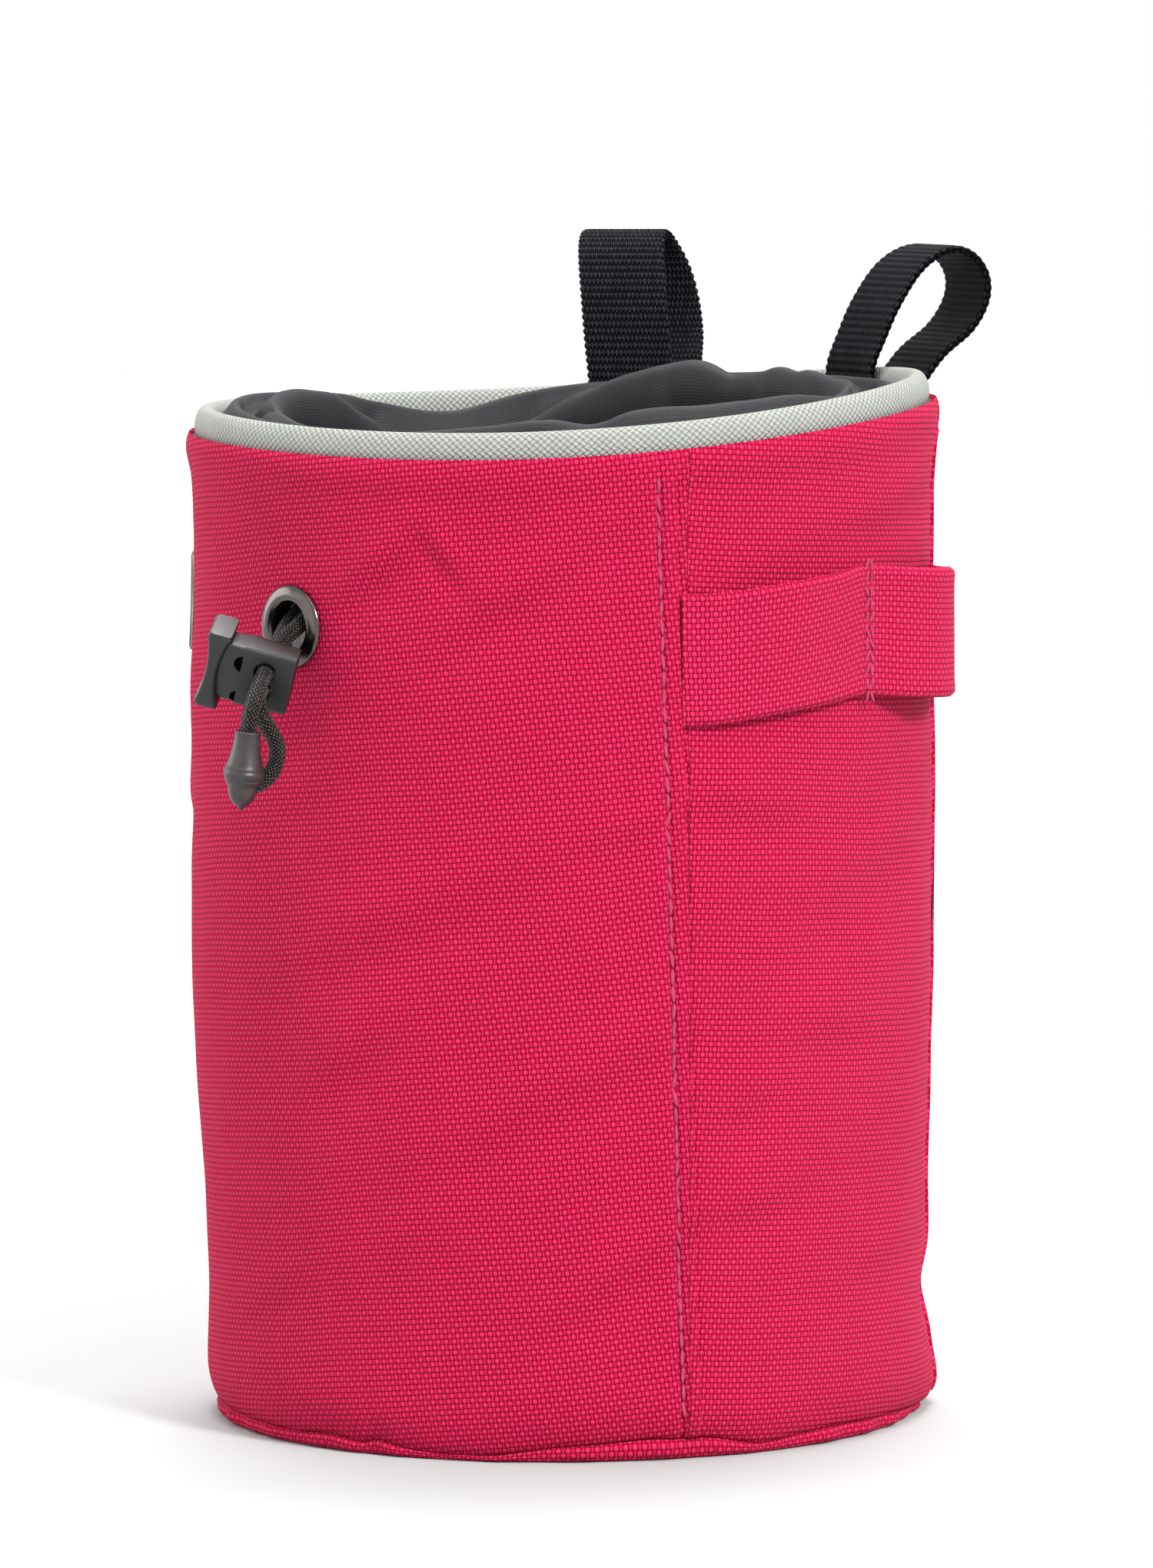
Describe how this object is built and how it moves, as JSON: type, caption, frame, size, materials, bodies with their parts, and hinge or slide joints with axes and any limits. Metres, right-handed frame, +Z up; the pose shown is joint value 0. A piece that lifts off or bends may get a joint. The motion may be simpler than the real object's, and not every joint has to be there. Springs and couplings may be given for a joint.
{
  "type": "climbing chalk bag",
  "caption": "Open cloth bucket with a stiff bound rim, an inner drawcord collar slumped inside, webbing belt loops at the back, a brush loop strip and a cord with a lock and end.",
  "frame": {"origin": "centre of the underside, in the plane it stands on", "axes": "+Z up to the mouth, +Y towards the belt loops, -Y towards the eyelet and cord lock, +X towards the brush loop strip"},
  "size_m": [0.1301, 0.1592, 0.195],
  "materials": {
    "wall_cloth": "matte woven",
    "strip_cloth": "matte woven",
    "binding": "braided",
    "collar_cloth": "matte nylon",
    "webbing": "ribbed webbing",
    "eyelet_metal": "gunmetal",
    "cord": "braided",
    "cord_end_rubber": "satin",
    "label": "woven",
    "lock_plastic": "satin"
  },
  "bodies": {
    "bag": {"side_wall": "wall_cloth", "base_panel": "wall_cloth", "rim_binding": "binding", "collar": "collar_cloth", "belt_loop_left": "webbing", "belt_loop_right": "webbing", "brush_loop": "strip_cloth", "eyelet": "eyelet_metal", "drawcord_a": "cord", "drawcord_b": "cord", "cord_end": "cord_end_rubber", "side_label": "label", "lock_barrel": "lock_plastic"},
    "plunger": {"lock_plunger": "lock_plastic"}
  },
  "joints": [
    {"name": "plunger_press", "type": "slide", "parent": "bag", "child": "plunger", "axis": [0.815, 0.5142, -0.2672], "range_m": [0, 0.002], "stiffness_N_per_m": 600}
  ]
}
